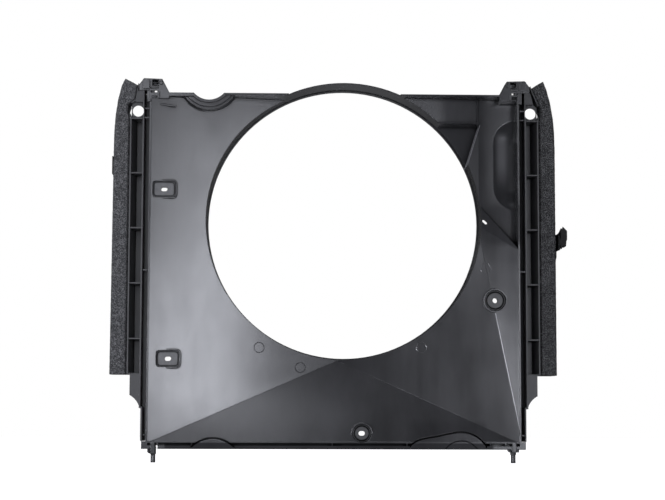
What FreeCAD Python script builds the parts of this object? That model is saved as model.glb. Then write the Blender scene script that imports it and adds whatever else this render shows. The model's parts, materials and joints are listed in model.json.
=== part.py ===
"""Radiator fan shroud, millimetres, +Z up, +Y from the radiator side towards the engine.

The origin is on the fan axis, in the front plane of the moulding that faces the radiator.
Side features are measured outwards (u) from the left or right edge of the panel.
"""
import FreeCAD, Part
import os

V = FreeCAD.Vector
AXIS_Y = V(0, 1, 0)
AXIS_Z = V(0, 0, 1)

# Fan ring
RING_BORE_R = 237.0
RING_WALL = 3.5
RING_FRONT_Y = 18.0
RING_THROAT_Y = 78.5
RING_DEPTH = 92.0
RING_BEAD = 3.0
RING_BEAD_WIDTH = 4.0
RING_MOUTH = 1.5
GUSSET_ANGLES = (-8, -32, -148, -172, 150, 172)
GUSSET_REACH = 27.0
GUSSET_LOW_DEPTH = 40.0
GUSSET_DEPTH = 84.0
GUSSET_WALL = 2.6
GUSSET_SET_IN = 1.0

# Panel frame, measured from the fan axis
PANEL_LEFT = -336.0
PANEL_RIGHT = 302.0
PANEL_TOP = 218.0
PANEL_BOTTOM = -393.3
PANEL_WALL = 3.0
TOP_FLANGE = 6.0
TOP_FLANGE_END = -262.0
BOTTOM_FLANGE = 5.8
GROOVE_WIDTH = 4.4
GROOVE_DEPTH = 20.0
SIDE_WALL_DEPTH = 36.0
FLANGE_RIB_XS = (-316.0, -258.0, -196.0, -20.0, 107.0, 249.0, 275.0)
FLANGE_RIB_WALL = 2.2
FLANGE_RIB_SET_BACK = 0.5

# Slopes of the funnel facets, depth in Y for each mm in X or Z
LEFT_SLOPE = 0.2275
BOTTOM_SLOPE = 0.515
RIGHT_SLOPE_X = 0.222
RIGHT_SLOPE_Z = 0.0324
SLIVER_SLOPE = 0.39

# Upper right bay, behind the diagonal step
BAY_DEPTH = 36.0
BAY_SHELF_SLOPE = 0.12
BAY_SHELF_X = 235.0
BAY_RIB_HEIGHT = 1.2
BAY_RIB_WALL = 3.0
STEP_FOOT_RING = (233.0, 27.0, -7.0)
STEP_FOOT_EDGE = (303.0, 0.0, -54.0)
STEP_HEAD_RING = (236.5, 28.5)
STEP_HEAD_EDGE = (308.0, -45.6)
STEP_SLOT = (244.3, -1.0)
STEP_SLOT_SIZE = (9.6, 4.2)
STEP_SLOT_ANGLE = 46.0
POCKET_CORNERS = ((150.0, 171.5), (238.0, 171.5), (214.0, 96.0), (150.0, 96.0))
POCKET_DEPTH = 70.0
LEDGE_START_X = 160.0
LEDGE_HEIGHT = 2.4
LEDGE_REACH = 13.0

# Rounded recess beside the right side wall
SCOOP_WIDTH = 41.0
SCOOP_DEPTH = 12.0
SCOOP_HIGH_Z = 138.0
SCOOP_LOW_Z = 62.0

# Hose saddle in the top edge: radius of each band and how far back it stands
SADDLE_X = -234.5
SADDLE_R = 34.4
SADDLE_SAG = 12.0
SADDLE_BANDS = ((39.2, 0.0), (45.9, 3.0), (50.5, 6.5))
SADDLE_DEPTH = 34.0

# Swellings of the bottom flange that clear pipes
MOON_X = -222.5
MOON_TOP_Z = -376.5
MOON_R = 50.4
HUMP_CREST = ((113.0, -388.5), (130.0, -378.1), (146.9, -374.7), (172.5, -369.6), (199.0, -365.2),
              (215.1, -367.8), (225.3, -372.8), (241.0, -388.5))
SWELL_DEPTH = 19.0
TRENCH_WIDTH = 2.8
TRENCH_DEPTH = 16.0
TRENCH_WALL = 3.0
ARCH_X = 199.5
ARCH_R = 34.8
ARCH_TOP_Z = -378.0
ARCH_LINE_WIDTH = 1.7
ARCH_LINE_DEPTH = 1.6

# Side rails
SLOT_WIDTH = 9.5
RAIL_WALL = 2.5
CHANNEL_WIDTH = 24.0
CHANNEL_DEPTH = 36.0
CHANNEL_LIP = 5.0
CHANNEL_FLOOR_INSET = 9.0
RAIL_GAP = 0.3
RAIL_TOP_Z = 172.5
RIB_PITCH = 94.8
RIB_COUNT = 5
RIB_WALL = 2.4
RIB_SET_BACK = 0.8
RAIL_FOOT_Z = -267.5
RAIL_TAIL_Z = -302.5
RAIL_TAIL_WIDTH = 28.0
RAIL_TAIL_HEIGHT = 22.0
RAIL_TAIL_HOLLOW = (8.0, 8.5)
RAIL_LEG = (6.2, 8.4)
RAIL_LOW_Z = -380.0
HOLE_R = 9.75
HOLE_OUT = 20.0
HOLE_Z = 185.8
HOLE_PLATE_Y = 5.0
HOLE_PLATE_OUT = 31.2
HOLE_RELIEF = (1.5, 7.0)
CAP_LOW_Z = 203.0
CAP_TOP_Z = 221.0
CAP_LOW_OUT = 24.4
CAP_TOP_OUT = 20.0
CAP_FRONT_Y = 0.5
CAP_SHELF = 2.0
EDGE_WALL = 1.5
EDGE_GAP_Z = (180.0, 199.0)
CARRIER_EDGE = 57.0
CARRIER_TOP_Z = 228.0
CARRIER_TOP_EDGE = 45.0
CARRIER_TOP_IN = 23.5
TAB_WALL = 2.4
TAB_REACH_Y = (2.0, 8.0)
TAB_ZS = (190.0, 174.0, -89.5, -369.5)
CORNER_PLATE_DEPTH = 12.0
CORNER_PLATE_WIDTH = 7.3

# Foam strips: outwards from the panel's edge and in height, the outer edge and tip of each side
FOAM_THICK = 29.7
FOAM_FRONT_Y = 2.5
FOAM_INNER = 34.6
FOAM_TOP_IN = (20.5, 234.0)
FOAM_CURVE_Z = 125.0
FOAM_NOTCH_OUT = 38.2
FOAM_OUTLINES = {
    "left": {
        "inner": ((23.8, 212.0), (24.8, 205.5), (32.2, 200.5), (38.2, 199.5), (38.2, 179.5), (34.6, 179.0)),
        "apex": (43.0, 241.5), "tip": (46.4, 239.0), "crest": (48.9, 231.0), "shoulder": (58.7, 180.0),
        "edge": 61.0, "foot": 62.8,
    },
    "right": {
        "inner": ((34.6, 200.0), (38.2, 199.5), (38.2, 179.5), (34.6, 179.0)),
        "apex": (43.0, 242.3), "tip": (46.2, 239.6), "crest": (48.6, 231.0), "shoulder": (60.0, 177.0),
        "edge": 62.4, "foot": 62.4,
    },
}

# Isolators
PAD_SIZE = (37.6, 25.8)
PAD_CORNER_R = 4.5
PAD_SLOT = (11.3, 7.6)
PAD_RIM = 2.6
PAD_RECESS = 0.8
PAD_NECK = (13.5, 7.9)
UPPER_PAD = (-310.0, 50.5)
LOWER_PAD = (-300.5, -240.5)
RIGHT_BOSS = (260.5, -138.0)
RIGHT_BOSS_R = 17.1
RIGHT_BOSS_HOLE_R = 4.5
BOTTOM_BOSS = (30.5, -366.2)
BOTTOM_BOSS_R = 14.9
BOTTOM_BOSS_SLOT = (11.3, 7.9)
BOSS_NECK = (8.0, 8.0)
ISOLATOR_THICK = 6.0
ISOLATOR_BACK = 3.5
ISOLATOR_KEEPER = 4.0
ISOLATOR_GAP = 0.9
ISOLATOR_SEAT = 0.3
SEAT_WALL = 2.6
SEAT_PROUD = 0.6
SEAT_CLEAR = 12.0

# Locating pins under the frame
PIN_R = 4.15
PIN_TIP_Z = -416.2
PIN_SHOULDER_Z = -402.0
PIN_Y = 14.0
PIN_LEFT_X = -323.8
PIN_RIGHT_X = 289.2
PIN_ROOT_R = 5.2
PIN_ROOT_DEPTH = (5.0, 21.0)
PIN_FIN_CUT = 4.0
PIN_COLUMN = 3.4
PIN_COLUMN_TOP_Z = -380.5
PIN_COLUMN_PROUD = 1.0
PIN_LEFT_FIN = (-9.3, 3.7, -401.0)
PIN_RIGHT_FIN = (-9.2, 9.2, -398.0)
PIN_FIN_CORNER = 2.5
PIN_FIN_GROOVE = 1.2
PIN_NOTCH = (-319.6, -315.6, -387.2)

# Corner housings above the top edge
HOUSE_TOP_Z = 242.6
HOUSE_DEPTH = 36.0
HOUSE_IN = 33.3
HOUSE_SLOPE = 12.4
HOUSE_OUT = 18.4
HOUSE_SHOULDER = 8.0
HOUSE_LOW_Z = 207.5
HOUSE_WALL = 3.0
HOUSE_HOLLOW_Y = 25.0
HOUSE_POCKET = (10.8, 10.6, 22.0)
HOUSE_POCKET_IN = 9.4
HOUSE_POCKET_Z = 234.5
HOUSE_WINDOW = (6.1, 3.5)
HOUSE_WINDOW_Z = 219.6
HOUSE_WINDOW_WALL = 4.0
HOUSE_WINDOW_TOP_Z = 228.0
HOUSE_BOSS_R = 3.2
HOUSE_BOSS_IN = 19.0
HOUSE_BOSS_PROUD = 2.0
HOUSE_CHEEK = (-0.5, 12.5)
HOUSE_CHEEK_Z = (224.0, 241.0)
HOUSE_CHEEK_PROUD = 1.8
HOUSE_LEDGE = (1.4, 14.3)
HOUSE_LEDGE_Z = (225.0, 227.2)
HOUSE_RECESS = (4.1, 12.7)
HOUSE_RECESS_Z = (208.9, 216.0)
HOUSE_RECESS_DEPTH = 5.0
HOUSE_BAR = (14.0, 16.7)
HOUSE_LEG = (-5.0, 1.8)
HOUSE_LEG_Z = (201.5, 222.0)
HOUSE_LEG_TIP = 4.0
HOUSE_LEG_DEPTH = (1.0, 6.0)
HOUSE_SLIT = 2.2
SPRING_WALL = 0.9
SPRING_GAP = 0.3
SPRING_ENTRY = 2.5
SPRING_LEAD = 3.4
SPRING_SET_BACK = 7.0

# Low rib on the left facet
STREAK_CENTRE = (-304.0, 196.0)
STREAK_SIZE = (27.0, 2.6)
STREAK_PROUD = 1.1
STREAK_ANGLE = 6.0

# Clip for a wiring harness on the right rail, placed from the panel's right edge
CLIP_OUTLINE = (
    (75.7, -10.2), (83.2, -18.0), (82.8, -32.9), (81.6, -35.2), (81.4, -38.4),
    (80.8, -44.2), (75.4, -44.2), (73.6, -48.6), (67.5, -51.2), (62.2, -50.4),
    (62.2, -23.5), (64.3, -19.9), (67.8, -21.6), (70.4, -19.8), (72.2, -17.2),
)
CLIP_IN = 67.8
CLIP_OUT = 81.1
CLIP_FOOT_IN = 63.4
CLIP_FOOT_Z = (-50.0, -22.0)
CLIP_Z = (-51.2, -10.2)
CLIP_WALL = 2.2
CLIP_GAP = 0.3
CLIP_HINGE_U = 69.0
CLIP_HINGE_Y = 10.4
CLIP_KNUCKLE_R = 2.3
CLIP_KNUCKLES = ((-47.5, -42.0), (-31.5, -26.5))
CLIP_MID_KNUCKLE = (-41.7, -31.8)
CLIP_PIN_R = 1.0
CLIP_PIN_GAP = 0.06
CLIP_FLAP_Y = (8.1, 10.2)
CLIP_FLAP_IN = 71.7
CLIP_LIP = 1.4
CLIP_LIP_DEPTH = 8.5
CLIP_TAIL = ((65.8, -46.0), (67.2, -46.0), (67.2, -61.0), (65.0, -71.5), (63.8, -71.0), (65.8, -60.5))
CLIP_TAIL_DEPTH = 5.0
CLIP_RIVET_U = 66.2
CLIP_RIVET_Z = -34.2
CLIP_RIVET_R = 1.8
CLIP_RIVET_HEAD_R = 2.6
CLIP_RIVET_HEAD = 1.7
CLIP_EAR_OUT = 72.0
CLIP_EAR_Z = (-46.0, -24.0)

# Spring clip on the edge of the left foam carrier
EDGE_CLIP_Z = (77.5, 108.0)
EDGE_CLIP_WALL = 2.0
EDGE_CLIP_OUT = (62.2, 64.4)
EDGE_CLIP_LEG_IN = 48.0
EDGE_CLIP_LEG_INSET = 3.0
EDGE_CLIP_FRONT_Y = 12.0

FLOOR_Y = CHANNEL_DEPTH + RAIL_GAP
CARRIER_Y = FOAM_FRONT_Y + FOAM_THICK + RAIL_GAP
BIG = 3 * RING_BORE_R


def box(x0, x1, y0, y1, z0, z1):
    """A block between two corners, given in any order."""
    xs, ys, zs = sorted((x0, x1)), sorted((y0, y1)), sorted((z0, z1))
    return Part.makeBox(xs[1] - xs[0], ys[1] - ys[0], zs[1] - zs[0], V(xs[0], ys[0], zs[0]))


def slab(points, y0, y1):
    """A polygon drawn in X and Z, extruded from y0 to y1."""
    loop = [V(x, y0, z) for x, z in points]
    wire = Part.makePolygon(loop + loop[:1])
    return Part.Face(wire).extrude(V(0, y1 - y0, 0))


def side_slab(side, points, y0, y1):
    """A polygon drawn outwards from a panel edge and in Z, extruded from y0 to y1."""
    edge_x, out = side
    return slab([(edge_x + out * u, z) for u, z in points], y0, y1)


def side_box(side, u0, u1, y0, y1, z0, z1):
    """A block placed outwards from a panel edge."""
    edge_x, out = side
    return box(edge_x + out * u0, edge_x + out * u1, y0, y1, z0, z1)


def column(side, points, z0, z1):
    """A section drawn outwards from a panel edge and in Y, extruded along Z."""
    edge_x, out = side
    loop = [V(edge_x + out * u, y, z0) for u, y in points]
    return Part.Face(Part.makePolygon(loop + loop[:1])).extrude(V(0, 0, z1 - z0))


def disc(x, z, radius, y0, y1):
    """A cylinder along Y."""
    return Part.makeCylinder(radius, y1 - y0, V(x, y0, z), AXIS_Y)


def rounded_plate(x, z, width, height, corner, y0, y1):
    """A plate with rounded corners, centred on x and z."""
    corner = min(corner, width / 2.1, height / 2.1)
    plate = box(x - width / 2, x + width / 2, y0, y1, z - height / 2, z + height / 2)
    upright = [e for e in plate.Edges if abs(e.tangentAt(e.FirstParameter).y) > 0.99]
    return plate.makeFillet(corner, upright)


def obround(x, z, length, width, y0, y1):
    """A slotted hole's shape, long in X."""
    half = (length - width) / 2
    middle = box(x - half, x + half, y0, y1, z - width / 2, z + width / 2)
    ends = [disc(x + s * half, z, width / 2, y0, y1) for s in (-1, 1)]
    return middle.fuse(ends).removeSplitter()


def turned(shape, x, z, angle):
    """A shape turned about an axis along Y, clockwise as seen from the front."""
    shape.rotate(V(x, 0, z), AXIS_Y, angle)
    return shape


def biggest_solid(shape):
    """The main solid of a shape, without loose slivers."""
    return max(shape.Solids, key=lambda solid: solid.Volume)


def plane_through(a, b, c):
    """Depth, slope in X and slope in Z of the plane through three points."""
    normal = (V(*b) - V(*a)).cross(V(*c) - V(*a))
    slope_x, slope_z = -normal.x / normal.y, -normal.z / normal.y
    return a[1] - slope_x * a[0] - slope_z * a[2], slope_x, slope_z


def behind(depth, slope_x, slope_z):
    """All that lies behind the plane y = depth + slope_x * x + slope_z * z."""
    corners = [(-BIG, -BIG), (BIG, -BIG), (BIG, BIG), (-BIG, BIG)]
    loop = [V(x, depth + slope_x * x + slope_z * z, z) for x, z in corners]
    face = Part.Face(Part.makePolygon(loop + loop[:1]))
    return face.extrude(V(0, 2 * BIG, 0))


def groove_top():
    """Lower edge of the funnel, above the groove in the bottom flange."""
    return PANEL_BOTTOM + BOTTOM_FLANGE + GROOVE_WIDTH


def facet_planes():
    """Depth, slope in X and slope in Z of the four facets of the funnel."""
    left_zero = PANEL_LEFT + PANEL_WALL
    right_zero = PANEL_RIGHT - PANEL_WALL / 2
    right_depth = RIGHT_SLOPE_X * right_zero - RIGHT_SLOPE_Z * groove_top()
    return {
        "left": (-LEFT_SLOPE * left_zero, LEFT_SLOPE, 0.0),
        "bottom": (-BOTTOM_SLOPE * groove_top(), 0.0, BOTTOM_SLOPE),
        "right": (right_depth, -RIGHT_SLOPE_X, RIGHT_SLOPE_Z),
        "sliver": (SLIVER_SLOPE * PANEL_RIGHT, -SLIVER_SLOPE, 0.0),
    }


def facet_depth(x, z):
    """Depth of the funnel's front surface below the front plane, outside the bay."""
    return min(d + sx * x + sz * z for d, sx, sz in facet_planes().values())


def step_line_z(x):
    """Height of the diagonal step's lower edge."""
    (x0, _, z0), (x1, _, z1) = STEP_FOOT_RING, STEP_FOOT_EDGE
    return z0 + (z1 - z0) / (x1 - x0) * (x - x0)


def bay_outline():
    """The part of the panel that lies above the diagonal step."""
    far = PANEL_RIGHT + SCOOP_WIDTH
    return [(0, step_line_z(0)), (far, step_line_z(far)), (far, BIG), (0, BIG)]


def bay_void(block, grow):
    """The flat bay, its shelf towards the ring, and the twisted step below it."""
    head_ring = (STEP_HEAD_RING[0], BAY_DEPTH, STEP_HEAD_RING[1])
    head_edge = (STEP_HEAD_EDGE[0], BAY_DEPTH, STEP_HEAD_EDGE[1])
    shelf_zero = BAY_DEPTH - BAY_SHELF_SLOPE * BAY_SHELF_X
    bay = block.common(slab(bay_outline(), -PANEL_WALL, BIG))
    bay = bay.cut([behind(BAY_DEPTH + grow, 0, 0), behind(shelf_zero + grow, BAY_SHELF_SLOPE, 0)])
    halves = []
    for corners in ((STEP_FOOT_RING, STEP_FOOT_EDGE, head_ring), (STEP_FOOT_EDGE, head_edge, head_ring)):
        depth, slope_x, slope_z = plane_through(*corners)
        halves.append(bay.cut(behind(depth + grow, slope_x, slope_z)))
    return halves[0].fuse(halves[1])


def scoop(grow):
    """The rounded recess beside the side wall: a vertical trough with domed ends."""
    radius = (SCOOP_WIDTH ** 2 + SCOOP_DEPTH ** 2) / (2 * SCOOP_DEPTH)
    axis_y = BAY_DEPTH + SCOOP_DEPTH - radius
    low = V(PANEL_RIGHT, axis_y, SCOOP_LOW_Z)
    high = V(PANEL_RIGHT, axis_y, SCOOP_HIGH_Z)
    trough = Part.makeCylinder(radius + grow, SCOOP_HIGH_Z - SCOOP_LOW_Z, low, AXIS_Z)
    ends = [Part.makeSphere(radius + grow, centre) for centre in (low, high)]
    inner, outer = PANEL_RIGHT - 2 * SCOOP_WIDTH, PANEL_RIGHT - PANEL_WALL + grow
    limit = box(inner, outer, BAY_DEPTH - PANEL_WALL / 3, BIG, -BIG, BIG)
    return trough.fuse(ends).common(limit)


def grown_pocket(grow):
    """The deep pocket beside the ring, with its free walls moved out."""
    (x0, z0), (x1, z1), (x2, z2), (x3, z3) = POCKET_CORNERS
    return [(x0, z0 + grow), (x1 + grow, z1 + grow), (x2 + grow, z2), (x3, z3)]


def funnel_void(grow):
    """The open space in front of the panel, grown by a wall for the outer skin."""
    x0, x1 = PANEL_LEFT + PANEL_WALL - grow, PANEL_RIGHT - PANEL_WALL + grow
    z0, z1 = groove_top() - grow, PANEL_TOP - PANEL_WALL + grow
    front = 0.0 if grow else -2 * PANEL_WALL
    block = box(x0, x1, front, RING_DEPTH, z0, z1)
    funnel = block.cut([behind(d + grow, sx, sz) for d, sx, sz in facet_planes().values()])
    funnel = funnel.cut(slab(bay_outline(), -3 * PANEL_WALL, BIG))
    pocket = slab(grown_pocket(grow), front, POCKET_DEPTH + grow)
    return funnel.fuse([bay_void(block, grow), pocket, scoop(grow)])


def ring_tube():
    """Fan ring with a bead round its rear edge."""
    radius = RING_BORE_R + RING_WALL
    tube = disc(0, 0, radius, RING_FRONT_Y, RING_DEPTH)
    bead = disc(0, 0, radius + RING_BEAD, RING_DEPTH - RING_BEAD_WIDTH, RING_DEPTH)
    return tube.fuse(bead)


def ring_bore():
    """Open space through the fan ring: a slightly wider mouth, then the throat round the fan."""
    mouth = disc(0, 0, RING_BORE_R + RING_MOUTH, -RING_FRONT_Y, RING_THROAT_Y)
    return mouth.fuse(disc(0, 0, RING_BORE_R, RING_THROAT_Y, RING_DEPTH + RING_FRONT_Y))


def gussets():
    """Thin webs that brace the ring on the back of the panel."""
    inner, outer = RING_BORE_R + GUSSET_SET_IN, RING_BORE_R + GUSSET_REACH
    outline = [
        (inner, PANEL_WALL), (outer, PANEL_WALL), (outer, GUSSET_LOW_DEPTH),
        (inner + RING_WALL, GUSSET_DEPTH), (inner, GUSSET_DEPTH),
    ]
    webs = []
    for angle in GUSSET_ANGLES:
        loop = [V(x, y, -GUSSET_WALL / 2) for x, y in outline]
        web = Part.Face(Part.makePolygon(loop + loop[:1])).extrude(V(0, 0, GUSSET_WALL))
        web.rotate(V(0, 0, 0), AXIS_Y, -angle)
        webs.append(web)
    return webs


def frame_rim():
    """Left part of the top flange, side walls and the grooved bottom flange."""
    flange_top = PANEL_BOTTOM + BOTTOM_FLANGE
    back = GROOVE_DEPTH + PANEL_WALL
    parts = [
        box(PANEL_LEFT, TOP_FLANGE_END, 0, PANEL_WALL, PANEL_TOP - TOP_FLANGE, PANEL_TOP),
        box(PANEL_LEFT, PANEL_RIGHT, 0, PANEL_WALL, PANEL_BOTTOM, flange_top),
        box(PANEL_LEFT, PANEL_RIGHT, 0, SIDE_WALL_DEPTH, PANEL_BOTTOM, PANEL_BOTTOM + PANEL_WALL),
        box(PANEL_LEFT, PANEL_RIGHT, GROOVE_DEPTH, back, PANEL_BOTTOM, groove_top() + PANEL_WALL),
        box(PANEL_LEFT, PANEL_RIGHT, 0, back, groove_top(), groove_top() + PANEL_WALL),
    ]
    for x, inwards in ((PANEL_LEFT, 1), (PANEL_RIGHT, -1)):
        parts.append(box(x, x + inwards * PANEL_WALL, 0, SIDE_WALL_DEPTH, PANEL_BOTTOM, PANEL_TOP))
    for x in FLANGE_RIB_XS:
        x0, x1 = x - FLANGE_RIB_WALL / 2, x + FLANGE_RIB_WALL / 2
        parts.append(box(x0, x1, FLANGE_RIB_SET_BACK, back, PANEL_BOTTOM, groove_top() + PANEL_WALL))
    return parts


def bottom_groove():
    """Long groove between the bottom flange and the funnel, broken by its ribs."""
    groove = box(
        PANEL_LEFT + PANEL_WALL, PANEL_RIGHT - PANEL_WALL, -PANEL_WALL, GROOVE_DEPTH,
        PANEL_BOTTOM + BOTTOM_FLANGE, groove_top(),
    )
    for x in FLANGE_RIB_XS:
        groove = groove.cut(box(x - FLANGE_RIB_WALL / 2, x + FLANGE_RIB_WALL / 2, -BIG, BIG, PANEL_BOTTOM, 0))
    return groove


def saddle_z():
    return PANEL_TOP - SADDLE_SAG + SADDLE_R


def saddle():
    """Stepped bands round the notch that clears a hose."""
    bands = [disc(SADDLE_X, saddle_z(), radius, y, SADDLE_DEPTH) for radius, y in SADDLE_BANDS]
    below = box(PANEL_LEFT, 0, -PANEL_WALL, BIG, 0, PANEL_TOP)
    return bands[0].fuse(bands[1:]).common(below)


def saddle_notch():
    return disc(SADDLE_X, saddle_z(), SADDLE_R, -SADDLE_DEPTH, 2 * SADDLE_DEPTH)


def moon(grow, y0, y1):
    """Half round swelling of the bottom flange."""
    whole = disc(MOON_X, MOON_TOP_Z - MOON_R, MOON_R + grow, y0, y1)
    return whole.common(box(-BIG, BIG, -BIG, BIG, PANEL_BOTTOM + BOTTOM_FLANGE / 2, BIG))


def hump(grow, y0, y1):
    """Long swelling of the bottom flange under a smooth crest, moved out by grow."""
    crest = []
    for i, (x, z) in enumerate(HUMP_CREST):
        before, after = HUMP_CREST[max(i - 1, 0)], HUMP_CREST[min(i + 1, len(HUMP_CREST) - 1)]
        along = V(after[0] - before[0], 0, after[1] - before[1]).normalize()
        crest.append(V(x - along.z * grow, y0, z + along.x * grow))
    curve = Part.BSplineCurve()
    curve.interpolate(crest)
    low = PANEL_BOTTOM + BOTTOM_FLANGE / 2
    foot = [crest[-1], V(crest[-1].x, y0, low), V(crest[0].x, y0, low), crest[0]]
    sides = [Part.makeLine(a, b) for a, b in zip(foot, foot[1:])]
    return Part.Face(Part.Wire([curve.toShape()] + sides)).extrude(V(0, y1 - y0, 0))


def swellings(void):
    """Solids to add for both swellings, and the trenches to cut round them."""
    solids, trenches = [], []
    for shape in (moon, hump):
        backing = shape(TRENCH_WIDTH + TRENCH_WALL, 0, SWELL_DEPTH)
        front = shape(0, 0, SWELL_DEPTH)
        solids += [backing.cut(void), front]
        ditch = shape(TRENCH_WIDTH, -PANEL_WALL, TRENCH_DEPTH)
        trenches.append(ditch.cut(shape(0, -2 * PANEL_WALL, SWELL_DEPTH)))
    return solids, trenches


def arch_line():
    """Fine arched groove on the face of the right swelling."""
    z = ARCH_TOP_Z - ARCH_R
    ring = disc(ARCH_X, z, ARCH_R, -1, ARCH_LINE_DEPTH)
    ring = ring.cut(disc(ARCH_X, z, ARCH_R - ARCH_LINE_WIDTH, -2, ARCH_LINE_DEPTH + 1))
    return ring.common(box(-BIG, BIG, -BIG, BIG, PANEL_BOTTOM, BIG))


def housing(side):
    """A corner housing on the top edge: the solids to add and the spaces to cut."""
    front_low = PANEL_TOP - PANEL_WALL
    body = side_slab(
        side,
        [
            (-HOUSE_IN, HOUSE_LOW_Z), (-HOUSE_IN, PANEL_TOP), (HOUSE_SLOPE - HOUSE_IN, HOUSE_TOP_Z - 1),
            (HOUSE_OUT - HOUSE_SHOULDER, HOUSE_TOP_Z), (HOUSE_OUT, HOUSE_TOP_Z - HOUSE_SHOULDER * 1.3),
            (HOUSE_OUT, CAP_TOP_Z + RAIL_GAP), (0, CAP_TOP_Z + RAIL_GAP), (0, HOUSE_LOW_Z),
        ],
        0, HOUSE_DEPTH,
    )
    inset, top = HOUSE_WALL, HOUSE_TOP_Z - HOUSE_WALL
    hollow = side_slab(
        side,
        [
            (inset - HOUSE_IN, HOUSE_LOW_Z - 1), (inset - HOUSE_IN, PANEL_TOP),
            (HOUSE_SLOPE + 1 - HOUSE_IN, top),
            (-HOUSE_WALL, top), (-HOUSE_WALL, HOUSE_LOW_Z - 1),
        ],
        HOUSE_HOLLOW_Y, HOUSE_DEPTH + 1,
    )
    width, height, depth = HOUSE_POCKET
    u = HOUSE_POCKET_IN
    low_z, high_z = HOUSE_POCKET_Z - height / 2, HOUSE_POCKET_Z + height / 2
    pocket = side_box(side, width / 2 - u, -width / 2 - u, -1, depth, low_z, high_z)
    wide, high = HOUSE_WINDOW
    low_z = HOUSE_WINDOW_Z - high / 2
    window = side_box(side, wide / 2 - u, -wide / 2 - u, -1, HOUSE_DEPTH + 1, low_z, low_z + high)
    room = side_box(
        side, wide / 2 - u, -wide / 2 - u, HOUSE_WINDOW_WALL, HOUSE_DEPTH + 1, low_z, HOUSE_WINDOW_TOP_Z,
    )
    recess = side_box(side, -HOUSE_RECESS[0], -HOUSE_RECESS[1], -1, HOUSE_RECESS_DEPTH, *HOUSE_RECESS_Z)
    leg_in, leg_out = HOUSE_LEG
    leg_low, leg_high = HOUSE_LEG_Z
    slit = side_box(
        side, -leg_out, -leg_out - HOUSE_SLIT, -1, HOUSE_RECESS_DEPTH, HOUSE_LOW_Z + 1, leg_high - 1,
    )
    edge_x, out = side
    boss = disc(edge_x - out * HOUSE_BOSS_IN, HOUSE_POCKET_Z, HOUSE_BOSS_R, -HOUSE_BOSS_PROUD, PANEL_WALL)
    cheek = side_box(side, -HOUSE_CHEEK[0], HOUSE_CHEEK[1], -HOUSE_CHEEK_PROUD, 1, *HOUSE_CHEEK_Z)
    ledge = side_box(side, -HOUSE_LEDGE[0], -HOUSE_LEDGE[1], -HOUSE_CHEEK_PROUD, 1, *HOUSE_LEDGE_Z)
    bar = side_box(
        side, -HOUSE_BAR[0], -HOUSE_BAR[1], -HOUSE_CHEEK_PROUD, PANEL_WALL, HOUSE_LOW_Z + 1, PANEL_TOP + 1,
    )
    leg = side_box(side, -HOUSE_LEG[0], -HOUSE_LEG[1], *HOUSE_LEG_DEPTH, *HOUSE_LEG_Z)
    tip_out = -leg_in - 1.5
    tip_back = HOUSE_LEG_DEPTH[0] + 1
    tip = side_box(side, tip_out, -leg_out, -HOUSE_CHEEK_PROUD, tip_back, leg_low, leg_low + HOUSE_LEG_TIP)
    web = side_box(side, 0, -HOUSE_WALL, 0, SIDE_WALL_DEPTH, HOUSE_LOW_Z - 1, front_low)
    solids = [body.cut([hollow, pocket, recess, slit]), boss, cheek, ledge, bar, leg, tip, web]
    return solids, window.fuse(room)


def pin(x, fin):
    """A locating pin, its finned root and the column on the face of the flange."""
    left, right, low_z = fin
    y0, y1 = PIN_ROOT_DEPTH
    corner = PIN_FIN_CORNER
    root = slab(
        [
            (x + left, PANEL_BOTTOM + 2), (x + left, low_z + corner), (x + left + corner, low_z),
            (x + right, low_z), (x + right, PANEL_BOTTOM + 2),
        ],
        y0, y1,
    )
    grooves = []
    for side in (-1, 1):
        u = side * (PIN_COLUMN + PIN_FIN_GROOVE / 2)
        if left < u - PIN_FIN_GROOVE and u + PIN_FIN_GROOVE < right:
            x0, x1 = x + u - PIN_FIN_GROOVE / 2, x + u + PIN_FIN_GROOVE / 2
            grooves.append(box(x0, x1, y0 - 1, y0 + PIN_FIN_CUT, low_z - 1, PANEL_BOTTOM))
    neck = Part.makeCylinder(PIN_ROOT_R, PANEL_BOTTOM - PIN_SHOULDER_Z, V(x, PIN_Y, PIN_SHOULDER_Z), AXIS_Z)
    tip = Part.makeCylinder(PIN_R, PANEL_BOTTOM - PIN_TIP_Z, V(x, PIN_Y, PIN_TIP_Z), AXIS_Z)
    face = box(x - PIN_COLUMN, x + PIN_COLUMN, -PIN_COLUMN_PROUD, y0 + 1, low_z, PIN_COLUMN_TOP_Z)
    return root.cut(grooves).fuse([neck, tip, face]) if grooves else root.fuse([neck, tip, face])


def isolators():
    """Each isolator's centre, outline and hole at a given growth, and its neck, by node name."""

    def pad(x, z):
        def outline(grow, y0, y1):
            width, height = PAD_SIZE[0] + 2 * grow, PAD_SIZE[1] + 2 * grow
            return rounded_plate(x, z, width, height, PAD_CORNER_R + grow, y0, y1)

        return (x, z), outline, obround(x, z, *PAD_SLOT, 0, BIG), PAD_NECK

    def boss(x, z, radius, hole):
        return (x, z), lambda grow, y0, y1: disc(x, z, radius + grow, y0, y1), hole, BOSS_NECK

    right_hole = disc(*RIGHT_BOSS, RIGHT_BOSS_HOLE_R, 0, BIG)
    bottom_hole = obround(*BOTTOM_BOSS, *BOTTOM_BOSS_SLOT, 0, BIG)
    return {
        "upper_left_isolator": pad(*UPPER_PAD),
        "lower_left_isolator": pad(*LOWER_PAD),
        "right_isolator": boss(*RIGHT_BOSS, RIGHT_BOSS_R, right_hole),
        "bottom_isolator": boss(*BOTTOM_BOSS, BOTTOM_BOSS_R, bottom_hole),
    }


def square(centre, half, grow, y0, y1):
    """A block round an isolator's axis, its half width and height moved out by grow."""
    (x, z), (wide, high) = centre, half
    return box(x - wide - grow, x + wide + grow, y0, y1, z - high - grow, z + high + grow)


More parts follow.
